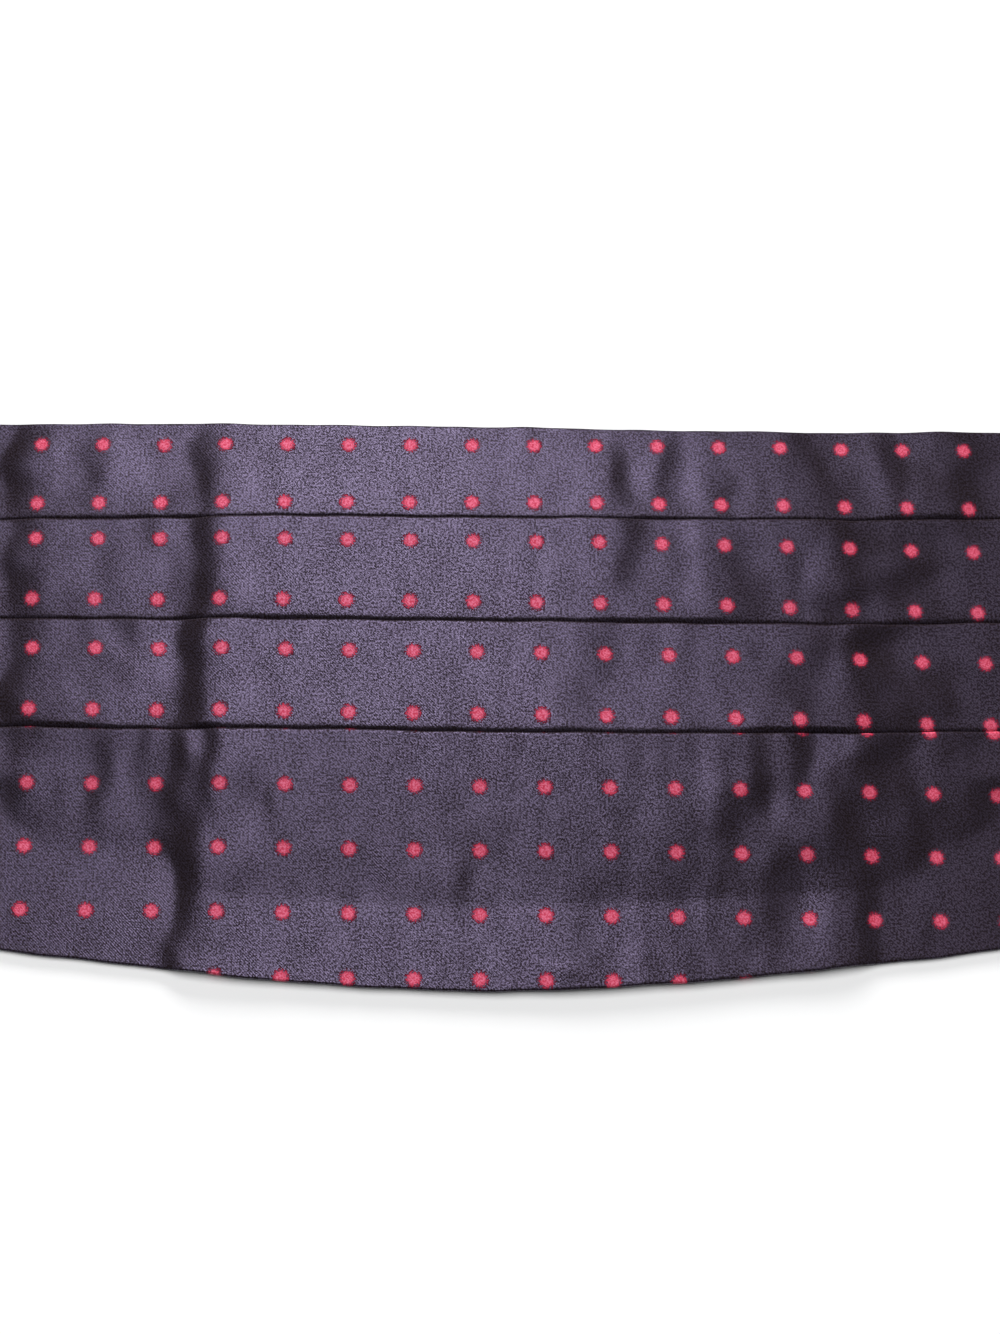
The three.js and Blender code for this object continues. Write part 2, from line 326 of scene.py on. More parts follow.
# %% Closed cloth from a grid
CLOTH_SHARP = math.radians(55)


def outward(middle):
    """Unit normals of a grid of points: the way its second index runs, crossed with its first."""
    first = np.gradient(middle, axis=0)
    second = np.gradient(middle, axis=1)
    normal = np.cross(second, first)
    return normal / np.linalg.norm(normal, axis=2, keepdims=True)


def grid_faces(index):
    """Corner numbers of the squares of a grid of point numbers, facing the way outward() gives."""
    corners = [index[:-1, :-1], index[:-1, 1:], index[1:, 1:], index[1:, :-1]]
    return np.stack(corners, axis=-1).reshape(-1, 4)


def closed_cloth(name, middle, wall, steps, finish):
    """A closed body: each point of the grid moved half the wall both ways, and a rim round the edge."""
    count = middle.shape[0] * middle.shape[1]
    shift = outward(middle) * (np.broadcast_to(wall, middle.shape[:2])[..., None] / 2)
    points = np.concatenate([(middle + shift).reshape(-1, 3), (middle - shift).reshape(-1, 3)])
    outer = np.arange(count).reshape(middle.shape[:2])
    edge = np.concatenate([outer[0, :], outer[1:, -1], outer[-1, -2::-1], outer[-2:0:-1, 0]])
    ahead = np.roll(edge, -1)
    rim = np.stack([ahead, edge, edge + count, ahead + count], axis=-1)
    faces = np.concatenate([grid_faces(outer), grid_faces(outer + count)[:, ::-1], rim])
    return mesh_piece(name, points, faces, finish, np.tile(steps.reshape(-1, 2), (2, 1)))


def mesh_piece(name, points, faces, finish, steps=None):
    """A smooth object in metres from points in millimetres, faces of equal size and a UV per point."""
    mesh = bpy.data.meshes.new(name)
    corners = faces.shape[1]
    mesh.vertices.add(len(points))
    mesh.vertices.foreach_set("co", (points * MM).astype(np.float32).ravel())
    mesh.loops.add(faces.size)
    mesh.loops.foreach_set("vertex_index", faces.ravel().astype(np.int32))
    mesh.polygons.add(len(faces))
    mesh.polygons.foreach_set("loop_start", np.arange(len(faces), dtype=np.int32) * corners)
    mesh.update(calc_edges=True)
    if steps is not None:
        places = steps[faces.ravel()].astype(np.float32)
        mesh.uv_layers.new(name="cloth").uv.foreach_set("vector", places.ravel())
    mesh.shade_smooth()
    mesh.set_sharp_from_angle(angle=CLOTH_SHARP)
    mesh.materials.append(finish)
    piece = bpy.data.objects.new(name, mesh)
    bpy.context.scene.collection.objects.link(piece)
    print(name, "faces:", len(faces), "valid:", not mesh.validate())
    return piece


# %% [markdown]
# ## The outline of the panel
# The top edge is straight and the hem is a shallow parabola. Three fold lines run side by side
# through the middle and close up towards the narrow ends. Nothing cut from cloth is ruler-straight,
# so each line wanders by up to about 1.3 mm, charted at nine places.

# %% Outline and fold lines
BANDS = (22.8, 26.0, 26.8)
DEPTH = 136.5
END_DEPTH = 53.0
END_SHARES = (0.23, 0.25, 0.25)
HALF_LENGTH = front_high[0]
PARALLEL_REACH = 125.0
TOP = DEPTH / 2
UNDERLAP = 10.0

FOLD_NAMES = ("first", "second", "third")
WANDER_PLACES = (-330, -115, -75, -40, 5, 45, 80, 120, 330)
WANDER = {
    "top": (0.8, 1.15, 1.25, 0.85, 0.5, -0.1, -0.1, 0.45, 0.8),
    "first": (-0.4, -1.15, -1.15, -0.8, -1.2, -1.2, -0.9, 0.1, -0.4),
    "second": (-0.4, -0.25, -0.65, -0.75, -1.1, -1.3, -1.2, 0.0, -0.4),
    "third": (-0.4, 0.2, -0.55, -0.5, -1.15, -1.2, -0.8, 0.3, -0.4),
    "hem": (0, 0.0, 1.15, 0.85, 0.4, 0.95, 1.1, 0.0, 0),
}


def smooth(share):
    """The S-shaped step from 0 to 1: three times the square less twice the cube."""
    share = np.clip(share, 0.0, 1.0)
    return share * share * (3 - 2 * share)


def wander(line, x):
    """The charted drift of a line, joined by smooth steps, and a finer waver with no set pattern."""
    places, drifts = np.array(WANDER_PLACES, float), np.array(WANDER[line], float)
    slot = np.clip(np.searchsorted(places, x, side="right") - 1, 0, len(places) - 2)
    share = smooth((x - places[slot]) / (places[slot + 1] - places[slot]))
    phase = 1.7 * len(line)
    waver = 0.07 * np.sin(x / 4.1 + phase) + 0.05 * np.sin(x / 2.3 + 2 * phase)
    return drifts[slot] * (1 - share) + drifts[slot + 1] * share + waver


def narrowing(x):
    """0 where the folds run side by side, rising to 1 at the ends of the panel."""
    return smooth((np.abs(x) - PARALLEL_REACH) / (HALF_LENGTH - PARALLEL_REACH))


def panel_depth(x):
    """The depth of the panel: a parabola from the middle to the ends."""
    return DEPTH + (END_DEPTH - DEPTH) * (x / HALF_LENGTH) ** 2


def fold_drop(number, x):
    """How far below the top edge a fold line lies, before it wanders."""
    share = narrowing(x)
    ends = END_DEPTH * sum(END_SHARES[:number])
    return sum(BANDS[:number]) * (1 - share) + ends * share


def top_edge(x):
    """Where the top edge lies: straight, apart from its drift."""
    return TOP + wander("top", x)


def hem(x):
    """Where the hem lies."""
    return TOP - panel_depth(x) + wander("hem", x)


def fold_line(number, x):
    """Where the folded top edge of a band lies: number 1 is under the top band."""
    return TOP - fold_drop(number, x) + wander(FOLD_NAMES[number - 1], x)


def underlap(number, x):
    """How much of the cloth a pleat hides. It shrinks with the bands towards the ends."""
    return UNDERLAP * (fold_drop(number, x) - fold_drop(number - 1, x)) / BANDS[number - 1]


print("folds at the middle:", [round(float(fold_line(n, np.zeros(1))[0]), 1) for n in (1, 2, 3)])

# %% [markdown]
# ## Creases and puff
# Silk laid on its own back never lies flat. Sharp creases run across the folds, and between them the
# cloth puffs up softly. What the eye reads is slope rather than height, so a crease is a step: the
# cloth falls across it within a few millimetres and recovers gently on both sides. A fold breaks a
# crease, so each band has its own. The table gives the band, the two ends, how wide the fall is, how
# deep, and how far the recovery reaches. Falls to the right are positive.
# The broad form under the creases is charted too: heights along the sash, the share of them that each
# part of the depth takes, and a rise of the lower panel right of its middle.

# %% Table of creases
CREASES = [
    # band, x0, y0, x1, y1, width, fall, reach
    (0, -69.0, 66, -68.0, 44, 3.0, -1.1, 18),
    (0, -80.0, 63, -79.0, 53, 2.6, -0.4, 10),
    (0, -96.0, 66, -95.5, 50, 3.0, -0.6, 14),
    (0, -3.0, 62, -1.5, 54, 2.2, 0.25, 8),
    (0, 30.0, 64, 35.5, 44, 2.8, 0.75, 12),
    (0, 44.0, 63, 42.5, 50, 2.0, 0.75, 12),
    (0, 60.0, 55, 57.0, 48, 2.6, 0.35, 10),
    (0, 77.0, 68, 83.5, 50, 4.2, 1.2, 20),
    (0, 96.0, 68, 100.5, 55, 3.4, 0.7, 14),
    (0, 119.0, 72, 117.5, 44, 6.0, 1.7, 22),
    (0, -116.0, 72, -115.0, 44, 4.6, -1.8, 24),
    (1, -67.5, 50, -67.5, 15, 2.8, -1.5, 22),
    (1, -79.5, 48, -79.0, 38, 2.2, -0.4, 9),
    (1, -87.0, 46, -91.0, 26, 4.6, -0.5, 14),
    (1, -38.5, 47, -38.0, 37, 2.6, -0.25, 9),
    (1, 34.0, 50, 35.0, 31, 3.6, 1.1, 22),
    (1, 36.0, 33, 41.0, 20, 3.4, 0.5, 14),
    (1, 33.0, 33, 27.0, 18, 3.4, 0.4, 12),
    (1, 62.0, 42, 60.0, 15, 7.5, 1.1, 30),
    (1, 88.0, 48, 86.0, 15, 7.5, 1.6, 30),
    (1, 104.0, 50, 103.0, 15, 9.0, 1.5, 24),
    (1, 120.0, 50, 119.0, 15, 6.0, 1.8, 24),
    (1, -115.5, 50, -115.0, 15, 4.8, -2.0, 24),
    (2, -68.0, 25, -68.5, -12, 3.2, -2.1, 13),
    (2, -89.0, 20, -86.0, 4, 4.2, -0.6, 14),
    (2, -83.0, 21, -82.5, 12, 2.4, -0.4, 9),
    (2, -16.0, 8, -19.0, -7, 3.6, -0.25, 12),
    (2, 29.0, 21, 22.0, -8, 4.6, 0.5, 16),
    (2, 74.5, 20, 73.5, -8, 6.0, 0.9, 24),
    (2, 91.5, 25, 90.5, -12, 5.6, 2.0, 24),
    (2, 107.0, 25, 106.0, -12, 9.0, 1.6, 24),
    (2, 121.0, 25, 121.0, -12, 5.0, 1.5, 22),
    (2, -115.0, 25, -113.0, -12, 4.8, -2.0, 24),
    (3, -71.0, -3, -71.0, -14, 1.8, -0.9, 8),
    (3, -63.5, -3, -64.0, -24, 2.2, -1.1, 10),
    (3, -79.5, -3, -79.5, -18, 2.0, -0.45, 9),
    (3, -72.0, -14, -70.0, -42, 4.0, -1.6, 22),
    (3, -67.5, -30, -71.5, -74, 2.5, -1.4, 20),
    (3, -48.5, -20, -50.0, -32, 2.2, -0.5, 6),
    (3, -88.0, -5, -89.0, -24, 3.2, -0.5, 12),
    (3, -88.0, -20, -106.0, -40, 3.6, -0.5, 12),
    (3, -113.0, -2, -112.0, -34, 5.0, -1.3, 20),
    (3, -6.5, -36, -1.5, -46, 3.2, 0.45, 12),
    (3, 20.5, -48, 25.0, -62, 2.6, 0.65, 12),
    (3, 14.5, -61, 20.0, -62, 0.8, 0.25, 3),
    (3, 62.0, -3, 64.0, -26, 2.8, 1.0, 14),
    (3, 74.0, -3, 73.0, -22, 2.4, 0.9, 12),
    (3, 80.5, -20, 82.0, -34, 3.2, 0.8, 12),
    (3, 91.0, -4, 95.0, -26, 6.5, 1.5, 18),
    (3, 54.5, -25, 56.5, -40, 3.4, 0.55, 12),
    (3, 67.5, -38, 65.5, -55, 3.4, 0.8, 14),
    (3, 84.0, -27, 89.0, -46, 3.8, 1.1, 16),
    (3, 87.5, -46, 86.5, -72, 3.0, 1.1, 14),
    (3, 99.5, -26, 101.0, -40, 3.4, 0.8, 12),
    (3, 104.0, -47, 101.5, -58, 2.8, 0.6, 10),
    (3, 117.0, -2, 116.0, -32, 5.0, 1.3, 18),
    (3, -23.0, -34, -21.5, -46, 3.0, -0.3, 12),
]
PUFF_PLACES = (-70, -40, 5, 38, 70)
PUFF_SHARES = (0.5, 0.8, 1.6, 1.6, 0.7)
PROFILE_PLACES = (-200, -150, -121, -66, -5, 45, 121, 150, 200)
PROFILE_HEIGHTS = (0.0, -1.2, -1.7, 0.5, 0.9, 0.68, -1.5, -1.0, 0.0)
PANEL_PLACES = (-5, 8, 20, 45, 66, 84, 120)
PANEL_RISES = (0.0, 0.08, 0.42, 1.1, 1.35, 1.0, 0.0)
PANEL_RISE_PLACES = (-75, -60, -30, 5)
PANEL_RISE_SHARES = (0.2, 0.6, 1.0, 0.0)
DEEPEST = -2.0
END_PLACES = (-292, -262, -224, -196, -160, 152, 190, 236, 278)
END_WIDTH = 5.0
END_FALL = 0.9
END_REACH = 30
for band in range(4):
    for place in END_PLACES:
        shift = 3.0 * math.sin(2.1 * band + place)
        fall = math.copysign(END_FALL, place)
        CREASES.append((band, place + shift, 80, place * 1.03 - shift, -75, END_WIDTH, fall, END_REACH))


def crease_lift(x, y, crease, number):
    """Minus half the fall, times tanh of the distance across over the width, times a bell of the
    distance over the reach. The line wavers, and the fall fades out past both its ends."""
    _, x0, y0, x1, y1, width, fall, reach = crease
    run = np.array([x1 - x0, y1 - y0])
    length = np.hypot(*run)
    down = run / length
    along = (x - x0) * down[0] + (y - y0) * down[1]
    across = (x - x0) * -down[1] + (y - y0) * down[0]
    waver = np.sin(along / 3.4 + number) + 0.6 * np.sin(along / 1.9 + 2 * number)
    across = across + 0.22 * width * waver
    fade = 3.5 + 5.0 * abs(fall)
    held = smooth((along + fade) / (2 * fade)) * smooth((length + fade - along) / (2 * fade))
    held = held * (1 + 0.25 * np.sin(along / 4.3 + 3 * number))
    return -fall / 2 * np.tanh(across / width) * np.exp(-(across / reach) ** 2) * held


def swell(x, y, count, shortest, longest, height, turned, seed):
    """A sum of sine waves with lengths between two limits, the longer the higher. The waves run
    along X, and turned is how far they stray from that."""
    draw = np.random.default_rng(seed)
    total = np.zeros(np.broadcast(x, y).shape)
    for _ in range(count):
        length = draw.uniform(shortest, longest)
        turn = draw.normal(0.0, turned)
        phase = draw.uniform(0, 2 * math.pi)
        waves = (x * math.cos(turn) + y * math.sin(turn)) * (2 * math.pi / length)
        total = total + length / longest * np.sin(waves + phase)
    return total * height / math.sqrt(count)


def soft_floor(value, low, soft):
    """The value, but never below low: low + soft log(1 + exp((value - low) / soft))."""
    return low + soft * np.logaddexp(0.0, (value - low) / soft)


def rounded_profile(place, places, heights, reach=9.0, count=13):
    """Straight runs between charted heights, their corners rounded by a mean over a short stretch."""
    nearby = np.linspace(-reach, reach, count)
    return sum(np.interp(place + step, places, heights) for step in nearby) / count


def bulge(x, y):
    """The broad form: a profile along the sash, puffed up most in the middle of its depth, and a
    gentle rise of the panel right of its middle."""
    along = rounded_profile(x, PROFILE_PLACES, PROFILE_HEIGHTS)
    rise = rounded_profile(x, PANEL_PLACES, PANEL_RISES)
    rise = rise * rounded_profile(y, PANEL_RISE_PLACES, PANEL_RISE_SHARES)
    return along * rounded_profile(y, PUFF_PLACES, PUFF_SHARES) + rise


def relief(band, x, y):
    """How far a band lies above or below its mean level: one broad swell under all the bands, and
    its own creases, streaks and fine crumple."""
    total = bulge(x, y) + swell(x, y, 12, 28, 80, 0.11, 0.45, seed=4)
    total = total + swell(x, y, 14, 6, 16, 0.055, 0.2, seed=20 + band)
    total = total + swell(x, y, 16, 4, 9, 0.022, 0.9, seed=40 + band)
    for number, crease in enumerate(CREASES):
        if crease[0] == band:
            total = total + crease_lift(x, y, crease, number)
    return soft_floor(total, DEEPEST, 0.15)


print("creases:", len(CREASES))

# %% [markdown]
# ## Pleats as layers
# Each band starts at a folded edge that lies on the band above, runs down, dips, and slips under the
# next folded edge. There the cloth turns back up beneath, to the next fold. The cell below gives the
# level of the visible layer, and the hidden layers follow it from underneath, one layer apart. They
# still cross at two kinds of place: where one sheet ends and the next begins, the two share a strip
# 0.4 mm wide, and the turned-in edge of the lower back leaf goes into a hidden layer of the second band.

# %% Level of the visible layer
WALL = 0.5
LAYER = 0.62
LOW_LEVEL = 2.9
CROWN = 1.0
DIPS = ((0.9, 0.28), (0.1, 1.2))
BACK_LEVEL = WALL / 2
EDGE_LEVEL = 2.0
HEM_LEVEL = 1.2
HEM_ALLOWANCE = 0.675
LEAST_LEVEL = BACK_LEVEL + LAYER + 0.05
JOIN_REACH = 1.5
ROOM_FADE = 8.0
FLATTEN_REACH = 24.0
FLATTEN_PAST = 4.0
STRAP_RISE = 1.8
RISE_START = HALF_LENGTH - 46.0
RISE_END = HALF_LENGTH - 22.0


def lifted(x):
    """The front climbs over the strap that is tucked into each end."""
    return STRAP_RISE * smooth((np.abs(x) - RISE_START) / (RISE_END - RISE_START))


def visible_level(band, x, y):
    """Height of the middle of a band's cloth. It starts two layers up at its folded edge, runs evenly
    to the crown or to the edge of the sash, and plunges to the low level just before the next fold.
    It never comes nearer to the back than the hidden layers under it have room for."""
    start = TOP if band == 0 else fold_line(band, x)
    end = hem(x) if band == 3 else fold_line(band + 1, x)
    share = np.clip((start - y) / (start - end), 0.0, 1.0)
    first = EDGE_LEVEL if band == 0 else LOW_LEVEL + 2 * LAYER
    last = HEM_LEVEL if band == 3 else LOW_LEVEL + CROWN
    lift = relief(band, x, y)
    if band < 3:
        near = smooth((y - end) / JOIN_REACH)
        lift = lift * near + np.minimum(lift, relief(band + 1, x, y)) * (1 - near)
    level = first + (last - first) * share
    if band == 3:
        level = np.interp(share, (0.0, HEM_ALLOWANCE, 1.0), (first, HEM_LEVEL - 0.3, HEM_LEVEL))
    level = level + lift * smooth((HALF_LENGTH + FLATTEN_PAST - np.abs(x)) / FLATTEN_REACH)
    if band < 3:
        for depth, length in DIPS:
            level = level - depth * np.exp(-np.maximum(y - end, 0.0) / length)
    room = 0.0 if band == 0 else 2 * LAYER * (1 - smooth((start - UNDERLAP - y) / ROOM_FADE))
    return soft_floor(level, LEAST_LEVEL + room, 0.12) + lifted(x)


# %% [markdown]
# ## Where the dots fall
# The pleats cut one lattice of dots, so the four bands nearly agree along X. For each band the table
# holds a dot's place, the slope of its rows, the sideways drift of its columns and the pitch of its
# rows.

# %% Lattice of each band
LATTICES = [
    {"x": -3.45, "y": 63.5, "slope": -0.0008, "shear": 0.005, "pitch": 15.35},
    {"x": -2.92, "y": 38.1, "slope": -0.0095, "shear": 0.008, "pitch": 15.1},
    {"x": -1.77, "y": 10.6, "slope": -0.0115, "shear": 0.017, "pitch": 14.9},
    {"x": -0.9, "y": -21.3, "slope": -0.0078, "shear": 0.009, "pitch": 14.65},
]
print("row pitch of the dots, mm:", [lattice["pitch"] for lattice in LATTICES])

# %% [markdown]
# ## Paths across the panel
# A band is worked out for all stations along the sash at once. Its path is a row of stretches: straight
# runs from one Y to another at a given level, and half turns. A turn is a half circle at the hidden
# fold and the folded edge, and is pressed square at the top edge and the hem.

# %% Stretches of a path
def stations():
    """Places along the sash: a millimetre apart in the middle and wider apart towards the ends."""
    middle = np.arange(-130.0, 130.5, 1.0)
    outer = np.linspace(130.0, HALF_LENGTH, 68)[1:]
    return np.concatenate([-outer[::-1], middle, outer])[:, None]


def spaced(start, end, count):
    """Values from start to end for every station, closer together at both ends."""
    even = np.linspace(0.0, 1.0, count)[None, :]
    share = 0.45 * even + 0.55 * (1 - np.cos(math.pi * even)) / 2
    return start + (end - start) * share


def half_turn(y, low, high, way, count=9):
    """Half a circle from one level to another at y, bulging towards +Y for 1 and -Y for -1."""
    angle = np.linspace(-math.pi / 2, math.pi / 2, count)[None, :]
    radius = (high - low) / 2
    return y + way * np.abs(radius) * np.cos(angle), (low + high) / 2 + radius * np.sin(angle)


def pressed_turn(y, low, high, way, radius, count=7):
    """A turn pressed square: two quarter circles of a small radius with an upright run between."""
    sense = np.sign(high - low)
    angle = np.linspace(0.0, math.pi / 2, count)[None, :]
    out, up = radius * np.sin(angle), radius * (1 - np.cos(angle))
    across = np.concatenate([out, out[:, ::-1]], axis=1)
    levels = np.concatenate([low + sense * up, high - sense * up[:, ::-1]], axis=1)
    return y + way * across, levels


def tucked(band, x, y):
    """The lowest layer under a folded edge: the visible layer above it, less two layers."""
    return visible_level(band, x, y) - 2 * LAYER


def joined(stretches):
    """One path from a list of stretches, each a pair of y and z grids."""
    grids = [np.broadcast_arrays(*stretch) for stretch in stretches]
    return tuple(np.concatenate([grid[axis] for grid in grids], axis=1) for axis in (0, 1))


def cloth_steps(band, x, y, z, seen, hidden):
    """Lattice steps of each point. The cloth before the first seen point and from the first hidden one
    is measured along its own path."""
    lattice = LATTICES[band]
    run = np.hypot(np.diff(y, axis=1), np.diff(z, axis=1))
    path = np.concatenate([np.zeros_like(x), np.cumsum(run, axis=1)], axis=1)
    laid = y.copy()
    laid[:, :seen] = y[:, seen:seen + 1] + path[:, seen:seen + 1] - path[:, :seen]
    laid[:, hidden:] = y[:, hidden:hidden + 1] + path[:, hidden:hidden + 1] - path[:, hidden:]
    laid = laid + fold_drop(band, x) - sum(BANDS[:band])
    below = lattice["y"] - laid
    u = (x - lattice["x"] - lattice["shear"] * below) / PITCH
    v = (-below - lattice["slope"] * x) / lattice["pitch"]
    return np.stack([u, v], axis=-1)


# %% [markdown]
# ## The four bands of the front
# The top band wraps the top edge and the lower panel wraps the hem. Both go a little way round onto
# the back, so that the edges of the sash are pressed turns without a seam.

# %% Build the bands
BACK_WRAP = 8.0
EDGE_RADIUS = 0.27
DIP_REACH = 2.4
X = stations()


def band_path(band):
    """All stretches of one band, from its hidden start to its hidden end, and the numbers of its
    first seen point and its first hidden one."""
    stretches = []
    if band == 0:
        top = top_edge(X)
        edge = visible_level(0, X, top)
        start = top - EDGE_RADIUS - WALL / 2
        back = spaced(top - BACK_WRAP, start, 6)[:, :-1]
        stretches.append((back, np.full_like(back, BACK_LEVEL)))
        stretches.append(pressed_turn(start, BACK_LEVEL, edge, 1, EDGE_RADIUS))
    else:
        fold = fold_line(band, X)
        start = fold - LAYER / 2 - WALL / 2
        under = spaced(fold - underlap(band, X), start, 12)[:, :-1]
        stretches.append((under, visible_level(band, X, under) - LAYER))
        crest = visible_level(band, X, start)
        stretches.append(half_turn(start, crest - LAYER, crest, 1))
    seen = sum(stretch[0].shape[1] for stretch in stretches)
    if band < 3:
        fold = fold_line(band + 1, X)
        dip = fold + DIP_REACH
        shown = np.concatenate([spaced(start, dip, 28)[:, 1:], spaced(dip, fold, 14)[:, 1:]], axis=1)
        stretches.append((shown, visible_level(band, X, shown)))
        hidden_from = seen + shown.shape[1]
        turn = fold - underlap(band + 1, X) + WALL / 2 + LAYER / 2
        hidden = spaced(fold, turn, 12)[:, 1:]
        stretches.append((hidden, tucked(band + 1, X, hidden)))
        last = tucked(band + 1, X, turn)
        bend = half_turn(turn, last, last + LAYER, -1)
        stretches.append((bend[0][:, 1:], bend[1][:, 1:]))
    else:
        edge = visible_level(3, X, hem(X))
        turn = hem(X) + EDGE_RADIUS + WALL / 2
        shown = spaced(start, turn, 68)[:, 1:]
        stretches.append((shown, visible_level(3, X, shown)))
        hidden_from = seen + shown.shape[1]
        bend = pressed_turn(turn, edge, BACK_LEVEL, -1, EDGE_RADIUS)
        stretches.append((bend[0][:, 1:], bend[1][:, 1:]))
        back = spaced(turn, hem(X) + BACK_WRAP, 6)[:, 1:]
        stretches.append((back, np.full_like(back, BACK_LEVEL)))
    return joined(stretches), seen, hidden_from - 1


def dress(piece, flat, replaced):
    """Hangs a sheet of cloth on the root body and hides the solid it replaces. Its cut size is not used.
    """
    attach(piece, "root")
    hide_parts(replaced)
    flat[0] * MM
    flat[1] * MM


BAND_NAMES = ("top_band", "second_band", "third_band", "lower_panel")
for band, name in enumerate(BAND_NAMES):
    (y, z), seen, hidden = band_path(band)
    middle = np.stack([np.broadcast_to(X, y.shape), y, z], axis=-1)
    piece = closed_cloth(name, middle, WALL, cloth_steps(band, X, y, z, seen, hidden), dotted_silk)
    width = float(np.hypot(np.diff(y, axis=1), np.diff(z, axis=1)).sum(axis=1).max())
    dress(piece, (2 * HALF_LENGTH, width), "pleated_front")
    print(name, "longest run of cloth, mm:", round(width, 1))

# %% [markdown]
# ## The back
# Behind, the same silk closes the sash in two flat leaves. Their edges turn in and meet in a seam
# nearer the top edge than the hem. It has no stitches.

# %% Build the back leaves
SEAM_SHARE = 0.62
SEAM_GAP = 0.15
TURNED_IN = 4.0
ROWS_BACK = 30


def back_leaf(name, start, way):
    """A flat leaf from the wrapped edge at start to the seam, whose edge turns in; way is its Y sense."""
    seam = hem(X) + (top_edge(X) - hem(X)) * SEAM_SHARE
    turn = seam - way * (SEAM_GAP + LAYER / 2 + WALL / 2)
    flat = spaced(start + way * SEAM_GAP, turn, ROWS_BACK)
    bend = half_turn(turn, BACK_LEVEL, BACK_LEVEL + LAYER, way, 7)
    inner = spaced(turn, turn - way * TURNED_IN, 4)[:, 1:]
    y, z = joined([
        (flat, np.full_like(flat, BACK_LEVEL)),
        (bend[0][:, 1:], bend[1][:, 1:]),
        (inner, np.full_like(inner, BACK_LEVEL + LAYER)),
    ])
    middle = np.stack([np.broadcast_to(X, y.shape), y, z], axis=-1)
    if way < 0:
        middle = middle[::-1]
    steps = middle[..., :2] / PITCH
    piece = closed_cloth(name, middle, WALL, steps, dotted_silk)
    width = float(np.abs(turn - start).max()) + TURNED_IN
    dress(piece, (2 * HALF_LENGTH, width), "pleated_front")


back_leaf("back_upper", top_edge(X) - BACK_WRAP, -1)
back_leaf("back_lower", hem(X) + BACK_WRAP, 1)

# %% [markdown]
# ## Straps
# A strap is silk sewn into a tube and pressed flat. It leaves the panel, drops to the ground, runs to
# the clasp, turns round its bar and is stitched down on itself. It is a profile carried along a path:
# full in the middle, thin at its two edges, with a shallow groove where each edge is stitched.

# %% Path and profile of a strap
STRAP_WALL = 1.5
STRAP_TUCK = 22.0
STRAP_LENGTH = 140.0
STRAP_LAP = 24.0
STRAP_DROP = 16.0
BAR_WIDTH = 2.6
BAR_HEIGHT = 1.6
AIR = 0.3
WRAP = math.hypot(BAR_WIDTH, BAR_HEIGHT) / 2 + AIR + STRAP_WALL / 2
BAR_LEVEL = STRAP_WALL / 2 + WRAP
BAR_PLACE = HALF_LENGTH + STRAP_LENGTH - WRAP - STRAP_WALL / 2
LAP_LEVEL = STRAP_WALL * 1.5 + AIR
LAP_START = BAR_PLACE - 2 * WRAP
STITCH_INSET = 2.6
PANEL_BACK = 1.0
PATH_STEP = 0.25
EASED_OVER = 9
STRAP_STEP = 1.0
STRAP_EDGE = 0.25
STRAP_ROUND = 0.9
STRAP_RIPPLE = 0.025
GROOVE_DEPTH = 0.28
GROOVE_WIDTH = 0.45
strap_low, strap_high = (np.array(corner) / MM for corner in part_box("strap_right"))
STRAP_MIDDLE = (strap_low[1] + strap_high[1]) / 2
STRAP_HALF = (strap_high[1] - strap_low[1]) / 2


def strap_line(step):
    """The path of a strap as evenly spaced x and z, its corners eased by a short running mean."""
    turn = np.linspace(-math.pi / 2, math.pi / 2, 25)
    inside = PANEL_BACK + AIR + STRAP_WALL / 2
    corners = [
        (HALF_LENGTH - STRAP_TUCK, inside), (HALF_LENGTH + AIR, inside),
        (HALF_LENGTH + AIR + STRAP_DROP, STRAP_WALL / 2), (LAP_START - STRAP_LAP, STRAP_WALL / 2),
        *zip(BAR_PLACE + WRAP * np.cos(turn), BAR_LEVEL + WRAP * np.sin(turn)),
        (BAR_PLACE - WRAP, BAR_LEVEL + WRAP * 0.8 + (LAP_LEVEL - BAR_LEVEL) * 0.2),
        (LAP_START, LAP_LEVEL), (LAP_START - STRAP_LAP, LAP_LEVEL),
    ]
    line = np.array(corners)
    run = np.concatenate([[0], np.cumsum(np.hypot(*np.diff(line, axis=0).T))])
    fine = np.arange(0.0, run[-1], PATH_STEP)
    dense = np.stack([np.interp(fine, run, line[:, axis]) for axis in (0, 1)], axis=1)
    padded = np.pad(dense, ((EASED_OVER // 2, EASED_OVER // 2), (0, 0)), mode="edge")
    eased = sum(padded[k:k + len(dense)] for k in range(EASED_OVER)) / EASED_OVER
    return eased[::round(step / PATH_STEP)], run[-1]


def strap_wall(y):
    """Wall thickness across the strap: full inside, falling to a thin edge, less a stitched groove."""
    edge = STRAP_HALF - np.abs(y)
    round_edge = np.sqrt(np.clip(edge / STRAP_ROUND, 0.0, 1.0))
    groove = GROOVE_DEPTH * np.exp(-((edge - STITCH_INSET) / GROOVE_WIDTH) ** 2)
    return STRAP_EDGE + (STRAP_WALL - STRAP_EDGE) * round_edge - groove


